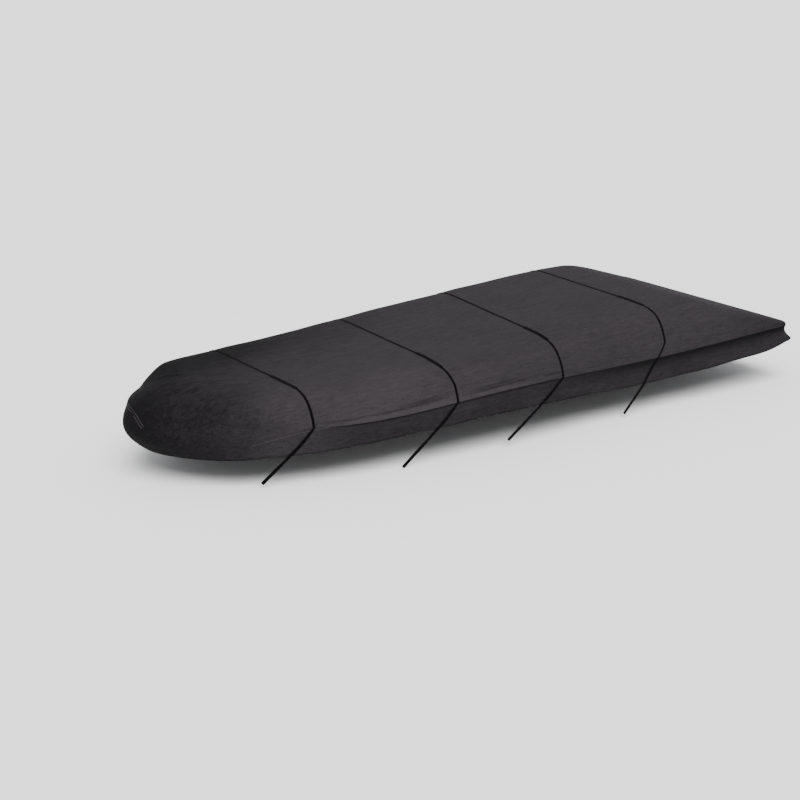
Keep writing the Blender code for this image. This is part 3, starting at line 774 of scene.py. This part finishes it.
hem_top = 1 - HEM_SHARE
skirt_rows = np.concatenate([
    np.linspace(0, hem_top, BAND_ROWS, endpoint=False),
    hem_top + HEM_STEP * np.array(HEM_STEP_ROWS),
    np.linspace(hem_top + HEM_FIRST, 1, HEM_ROWS),
])
skirt_face, skirt_normals = skirt_surface(outline, skirt_rows)
round_cover = np.linalg.norm(np.diff(skirt_face[:, 0], axis=0, append=skirt_face[:1, 0]), axis=1)
round_cover = np.concatenate([[0], np.cumsum(round_cover)[:-1]])
skirt_depths = section("skirt_depth", outline[:, 0])
skirt_uv = [round_cover[:, None], -skirt_rows * skirt_depths[:, None]]
skirt_uv = np.stack(np.broadcast_arrays(*skirt_uv), axis=2)
skirt_run = skirt_rows * skirt_depths[:, None]
up_from_hem = skirt_run[:, -1:] - skirt_run
at_bow = smooth_step((skirt_face[..., 0] - BOW_TONE_FROM) / BOW_TONE_RUN)
# painted shadow under the seam
seam_shade = np.exp(-((skirt_run / SEAM_SHADOW_DEPTH) ** 2))
seam_shade = seam_shade * smooth_step((SEAM_SHADOW_FROM - outline[:, :1]) / SEAM_SHADOW_RUN)
# painted shade in the hollow under the gunwale line
recess_shade = RECESS_DARK * np.exp(-((skirt_run / RECESS_DEPTH) ** 2))
recess_shade = recess_shade * smooth_step((RECESS_FROM - outline[:, :1]) / RECESS_RUN)
# painted shade along the hem's turned edge
hem_shade = HEM_DARK * np.exp(-((up_from_hem / HEM_DEPTH) ** 2))
# painted shade: the skirt darker than the top; at the bow it takes the top's tone and painted light and
# shade
skirt_masks = {
    "tone": SKIRT_TONE + (TOP_TONE - SKIRT_TONE + painted_light_and_shade(skirt_face)) * at_bow,
    "painted_shade": np.maximum(seam_shade, recess_shade) + hem_shade,
    "crinkle": crinkle_mask(skirt_face),
}
skirt_band = closed_sheet("skirt_band", skirt_face, skirt_normals, skirt_uv, skirt_masks, False)
skirt_band.data.materials.append(cover_cloth)
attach(skirt_band, "root")
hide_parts("cover_skirt")


# ---- The straps ----
# Four polyester webbing straps lie across the top and hang down over both sides, with cut ends.
# Near the port shoulder a second, wider layer is sewn on each.

STRAP_THICK = 0.0018
STRAP_LIFT = 0.0009       # air under a strap, for the waves of the cloth between its points
LAP_WIDTH = 0.0235
TAIL_LEAN = 0.085         # how far the tails lean in, for each metre that they go down
TAIL_STEP = 0.06          # run over which the skirt's own slope is read
TAIL_FIRST = 0.022        # where a tail has turned into its own direction
TAIL_CLEAR = 0.0030       # air between a tail and the skirt's hem
TAIL_RELEASE = 0.6        # share of the skirt's depth over which a tail gains that air
TAIL_SLACK = 0.20         # a slack tail is wider than the taut strap by this share
TAIL_SLACK_RUN = 0.05     # over this run from the gunwale line,
TAIL_SPREAD = 0.30        # and its cut end, which frays and flattens, by this one more
PROBE = 0.002             # step with which slopes are read, along a rib and across it
BROWN_INSIDE = 0.35       # the webbing is browner on the starboard half, from here
BROWN_RUN = 0.5
STRAP_POINTS, TAIL_POINTS, LAP_POINTS = 90, 36, 30
WEBBING_PROFILE = np.array((               # across in shares of the width, up in shares of the thickness
    (0.0, 0.30), (0.0, 0.70), (0.035, 0.93), (0.12, 1.0), (0.5, 1.05), (0.88, 1.0),
    (0.965, 0.93), (1.0, 0.70), (1.0, 0.30), (0.96, 0.0), (0.5, 0.0), (0.04, 0.0),
))


def top_line(spine, share, side):
    """Points and outward directions on the top, at one share each of the ribs of a side."""
    def base(s, r):
        """Points of the top itself and how far its unevenness stands out there."""
        station = s + skew_shift(s, side)
        return top_parts(station, side * half_breadth(station), s, np.clip(r, 0, 1))

    points, relief = base(spine, share)
    along = base(spine + PROBE, share)[0] - base(spine - PROBE, share)[0]
    down = base(spine, share + PROBE)[0] - base(spine, share - PROBE)[0]
    normals = side * np.cross(along, down)
    normals[share >= 1, 2] = 0
    normals = unit(normals)
    normals[share <= 0] = (0, 0, 1)
    return points + relief[:, None] * normals, normals


def strap_side(strap, side):
    """Both edges of a strap on one side of the top, from the middle out to the gunwale."""
    shares = np.sin(np.linspace(0, math.pi / 2, STRAP_POINTS))
    station = np.full(len(shares), strap["station"])
    heights = top_line(station, shares, side)[0][:, 2]
    turn = np.interp(strap["turn_share"], shares, heights)
    station = station + strap["slant"] * np.clip(turn - heights, 0, None)
    return [top_line(station + end * STRAP_WIDTH / 2, shares, side) for end in (-1, 1)]


def tail(strap, rim, side):
    """Both edges of a tail: on the skirt down to its hem, then straight on, leaning in."""
    slant = strap["slant"]
    size = math.hypot(slant, 1)
    along = np.array([slant, 0, -1]) / size
    wide = np.array([1, 0, slant]) / size
    length = (rim[2] - strap["tail_end"]) * size
    centre = rim + np.linspace(TAIL_FIRST, length, TAIL_POINTS)[:, None] * along
    depth = section("skirt_depth", rim[0]) - EDGE_ROLL
    down = rim[2] - centre[:, 2]
    on_skirt = np.minimum(down, depth)
    share = on_skirt / depth
    hem_station = centre[:, 0] - slant * (down - on_skirt)
    before = skirt_breadth(hem_station - slant * TAIL_STEP, share, side)
    slack = TAIL_SLACK * smooth_step(down / TAIL_SLACK_RUN)
    spread = (1 + slack + TAIL_SPREAD * smooth_step((down - on_skirt) / (down[-1] - depth)))[:, None]
    edges = []
    for end in (-1, 1):
        edge = centre + end * wide * STRAP_WIDTH / 2 * spread
        reach = skirt_breadth(hem_station + end * wide[0] * STRAP_WIDTH / 2, share, side)
        inwards = (skirt_breadth(hem_station, share, side) - before) / TAIL_STEP - TAIL_LEAN
        reach = reach + inwards * (down - on_skirt)
        edge[:, 1] = side * (reach + (TAIL_CLEAR + HEM_EXTRA) * smooth_step(share / TAIL_RELEASE))
        edges.append(edge)
    return edges, np.tile([0.0, float(side), 0.0], (TAIL_POINTS, 1))


def ribbon(aft, fore, aft_out, fore_out, lift, thick):
    """A rounded flat profile carried along two edge lines and closed at both ends: its points,
    its faces and its UVs, which are the run along it and across it.
    """
    across, up = WEBBING_PROFILE[:, 0, None], WEBBING_PROFILE[:, 1, None]
    out = unit(aft_out + fore_out)
    points = aft[:, None] + across * (fore - aft)[:, None] + (lift + thick * up) * out[:, None]
    count, sides = points.shape[:2]
    index = np.arange(count * sides).reshape(count, sides)
    beside = np.roll(index, -1, axis=1)
    faces = np.stack([index[:-1], index[1:], beside[1:], beside[:-1]], axis=2).reshape(-1, 4)
    half = sides // 2
    caps = []
    for ring, order in ((index[0], 1), (index[-1], -1)):
        for k in range(half - 1):
            caps.append([ring[k], ring[k + 1], ring[sides - 2 - k], ring[sides - 1 - k]][::order])
    run = np.concatenate([[0], np.cumsum(np.linalg.norm(np.diff((aft + fore) / 2, axis=0), axis=1))])
    width = np.linalg.norm(fore - aft, axis=1)
    uv = np.stack(np.broadcast_arrays(run[:, None], (across * width).T), axis=2)
    return points.reshape(-1, 3), np.vstack([faces, caps]), uv.reshape(-1, 2)


def add_webbing(name, *lines_and_heights):
    """A ribbon of webbing, which is browner towards starboard."""
    points, faces, uv = ribbon(*lines_and_heights)
    starboard_brown = smooth_step((BROWN_INSIDE - points[:, 1]) / BROWN_RUN)
    return add_mesh(name, place(points), faces, uv, {"starboard_brown": starboard_brown})


WEBBING_BLACK, WEBBING_BROWN = (0.0009, 0.0008, 0.0008), (0.0028, 0.0010, 0.0008)
WEBBING_RIB, RIB_SHARE = (0.0018, 0.0015, 0.0015), 0.3
WEBBING_ROUGH, WEBBING_SHINE = 0.85, 0.05
RIB_PITCHES = {"Along": 0.0016, "Across": 0.0011}
RIB_HEIGHT, RIB_STRENGTH = 0.0005, 0.8
WEAR_SCALE, WEAR_DETAIL, WEAR_MIX = 1.7, 2.0, 0.5


def webbing_material():
    """Black webbing: coarse ribs across it, browner towards starboard and in slow patches."""
    material, tree, shader = paint("webbing", WEBBING_BLACK, WEBBING_ROUGH)
    uv = put(tree, "ShaderNodeUVMap", {"uv_map": "UVMap"}).outputs[0]
    weave = place_group(tree, plain_weave, Place=uv, **RIB_PITCHES)
    wear = put(tree, "ShaderNodeTexNoise", Vector=uv, Scale=WEAR_SCALE, Detail=WEAR_DETAIL).outputs[0]
    share = add_uneven(tree, wear, WEAR_MIX, mask_of(tree, "starboard_brown"))
    share = put(tree, "ShaderNodeClamp", Value=share).outputs[0]
    colour = blend_colours(tree, share, WEBBING_BLACK, WEBBING_BROWN)
    on_ribs = maths(tree, "MULTIPLY", weave["Height"], RIB_SHARE)
    colour = blend_colours(tree, on_ribs, colour, WEBBING_RIB)
    tree.links.new(colour, shader.inputs["Base Color"])
    ribs = put(
        tree, "ShaderNodeBump", Height=weave["Height"], Distance=RIB_HEIGHT, Strength=RIB_STRENGTH,
    ).outputs[0]
    tree.links.new(ribs, shader.inputs["Normal"])
    shader.inputs["Specular IOR Level"].default_value = WEBBING_SHINE
    return material


webbing = webbing_material()
for row in STRAPS:
    strap = dict(zip(STRAP_COLUMNS, row))
    halves = []
    for side in (1, -1):
        (aft, aft_out), (fore, fore_out) = strap_side(strap, side)
        (tail_aft, tail_fore), tail_out = tail(strap, (aft[-1] + fore[-1]) / 2, side)
        halves.append((
            np.vstack([aft, tail_aft]),
            np.vstack([fore, tail_fore]),
            np.vstack([aft_out, tail_out]),
            np.vstack([fore_out, tail_out]),
        ))
    lines = [np.vstack([port[::-1], starboard[1:]]) for port, starboard in zip(*halves)]
    band = add_webbing("webbing_" + strap["name"], *lines, STRAP_LIFT, STRAP_THICK)

    half = float(half_breadth(strap["station"]))
    shares = np.linspace(strap["lap_to"], strap["lap_from"], LAP_POINTS) / half
    station = np.full(LAP_POINTS, strap["station"])
    lap_edges = [top_line(station + end * LAP_WIDTH / 2, shares, 1) for end in (-1, 1)]
    (aft, aft_out), (fore, fore_out) = lap_edges
    on_strap = STRAP_LIFT + STRAP_THICK + GAP
    lap = add_webbing("lap_of_" + strap["name"], aft, fore, aft_out, fore_out, on_strap, STRAP_THICK)
    for piece, node in ((band, "strap_"), (lap, "lap_")):
        piece.data.materials.append(webbing)
        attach(piece, "root")
        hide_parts(node + strap["name"])


# ---- The shaping seam of the bow ----
# Over the nose the cloth is taken in by a seam with two rows of stitches, which stand up as two
# thin lines. It comes back up to the gunwale line on the port side as one low line.

NOSE_SEAM = (              # run to port from the nose, and share of the skirt's depth, or below 0
    (-0.100, -0.0145),     # the share of a rib inside the gunwale line
    (-0.060, -0.0135),
    (0.005, -0.0080),
    (0.044, 0.0),
    (0.085, 0.068),
    (0.119, 0.153),
    (0.155, 0.254),
)
SIDE_SEAM = (              # the same columns
    (0.800, 0.54), (0.864, 0.458), (0.941, 0.356), (1.016, 0.254), (1.094, 0.153), (1.181, 0.072),
    (1.264, 0.0),
)
SEAM_LINES = (             # name, path, place beside it, width, height
    ("bow_seam_upper", NOSE_SEAM, 0.0085, 0.0048, 0.0014),
    ("bow_seam_lower", NOSE_SEAM, -0.0085, 0.0048, 0.0014),
    ("bow_seam_side", SIDE_SEAM, 0.0, 0.0060, 0.0016),
)
SEAM_SINK = 0.0004        # how deep a line is bedded in the cloth
# painted highlight: the raised seam lines are painted pale, where they catch the light
SEAM_HIGHLIGHT_TONE = 0.95
SEAM_POINTS = 90


def on_cover(run, share):
    """Points and outward directions on the cover, read between the points of its two grids, at a
    run to port from the nose and a share of the skirt's depth, below 0 on the top.
    """
    nose = len(gunwale_outline(1)) - 1
    rib = np.interp(-run, round_cover - round_cover[nose], np.arange(len(outline)))
    i = np.minimum(rib.astype(int), len(outline) - 2)
    u = (rib - i)[:, None]

    def between(grid, rows, at):
        """A grid's values at the ribs above and at places between its rows: a bilinear mean."""
        row = np.interp(at, rows, np.arange(len(rows)))
        j = np.minimum(row.astype(int), len(rows) - 2)
        v = (row - j)[:, None]
        first = grid[i, j] * (1 - u) + grid[i + 1, j] * u
        second = grid[i, j + 1] * (1 - u) + grid[i + 1, j + 1] * u
        return first * (1 - v) + second * v

    on_top = (share < 0)[:, None]
    pairs = ((top_face, skirt_face), (top_normals, skirt_normals))
    spot, out = (
        np.where(on_top, between(above, rings, 1 + share), between(below, skirt_rows, share))
        for above, below in pairs
    )
    return spot, unit(out)


for name, path, aside, width, height in SEAM_LINES:
    steps = np.linspace(0, len(path) - 1, SEAM_POINTS)
    run, share = (np.interp(steps, np.arange(len(path)), column) for column in np.array(path).T)
    centre, out = on_cover(run, share)
    along = unit(np.gradient(centre, axis=0))
    wide = unit(np.cross(out, along))
    centre = centre + aside * wide
    lines = (centre - wide * width / 2, centre + wide * width / 2, out, out)
    points, faces, uv = ribbon(*lines, -SEAM_SINK, height)
    flat = np.zeros(len(points))
    # painted highlight along the seam lines
    line_masks = {"tone": flat + SEAM_HIGHLIGHT_TONE, "painted_shade": flat, "crinkle": flat}
    seam_line = add_mesh(name, place(points), faces, uv, line_masks)
    seam_line.data.materials.append(cover_cloth)
    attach(seam_line, "root")


# ---- Floor, light and camera ----
# A plain pale floor just under the lowest tail, a broad soft light from overhead and a pale sky
# all round, and the camera at the photograph's own place and angle.

FLOOR_SIZE, FLOOR_CLEAR = 600.0, 0.002
FLOOR_COLOUR, FLOOR_ROUGH = (0.80, 0.80, 0.80), 0.9
SKY, SKY_STRENGTH = (0.97, 0.98, 1.0, 1), 0.95
OVERHEAD_STRENGTH, OVERHEAD_SPREAD = 5.8, 45.0
OVERHEAD_FROM = (0.22, 0.62, 1.0)

bpy.ops.mesh.primitive_plane_add(size=FLOOR_SIZE, location=(0, 0, cad_box[0][2] - FLOOR_CLEAR))
floor = bpy.context.object
floor.name = "floor"
floor.data.materials.append(paint("pale_floor", FLOOR_COLOUR, FLOOR_ROUGH)[0])

world = bpy.data.worlds.new("studio")
world.use_nodes = True
background = world.node_tree.nodes["Background"]
background.inputs["Color"].default_value = SKY
background.inputs["Strength"].default_value = SKY_STRENGTH
bpy.context.scene.world = world

soft_sun = bpy.data.lights.new("overhead", "SUN")
soft_sun.energy = OVERHEAD_STRENGTH
soft_sun.angle = math.radians(OVERHEAD_SPREAD)
overhead = bpy.data.objects.new("overhead", soft_sun)
overhead.rotation_euler = Vector(OVERHEAD_FROM).to_track_quat("Z", "Y").to_euler()
bpy.context.scene.collection.objects.link(overhead)

CAMERA_PLACE = (4.9737, 7.1111, 2.4193)
YAW, PITCH, ROLL = math.radians(32.8648), math.radians(18.7907), math.radians(-0.5711)
FOCAL_PIXELS, FRAME_PIXELS, SENSOR = 1325.93, 800, 36.0

forward = -np.array([
    math.sin(YAW) * math.cos(PITCH),
    math.cos(YAW) * math.cos(PITCH),
    math.sin(PITCH),
])
right = np.array([-math.cos(YAW), math.sin(YAW), 0.0])
up = np.cross(right, forward)
turned_right = math.cos(ROLL) * right + math.sin(ROLL) * up
turned_up = -math.sin(ROLL) * right + math.cos(ROLL) * up
lens = bpy.data.cameras.new("photo_view")
lens.sensor_width = SENSOR
lens.lens = FOCAL_PIXELS / FRAME_PIXELS * SENSOR
camera = bpy.data.objects.new("photo_view", lens)
pose = Matrix.Identity(4)
for column, axis in enumerate((turned_right, turned_up, -forward, CAMERA_PLACE)):
    for row in range(3):
        pose[row][column] = axis[row]
camera.matrix_world = pose
bpy.context.scene.collection.objects.link(camera)
bpy.context.scene.camera = camera
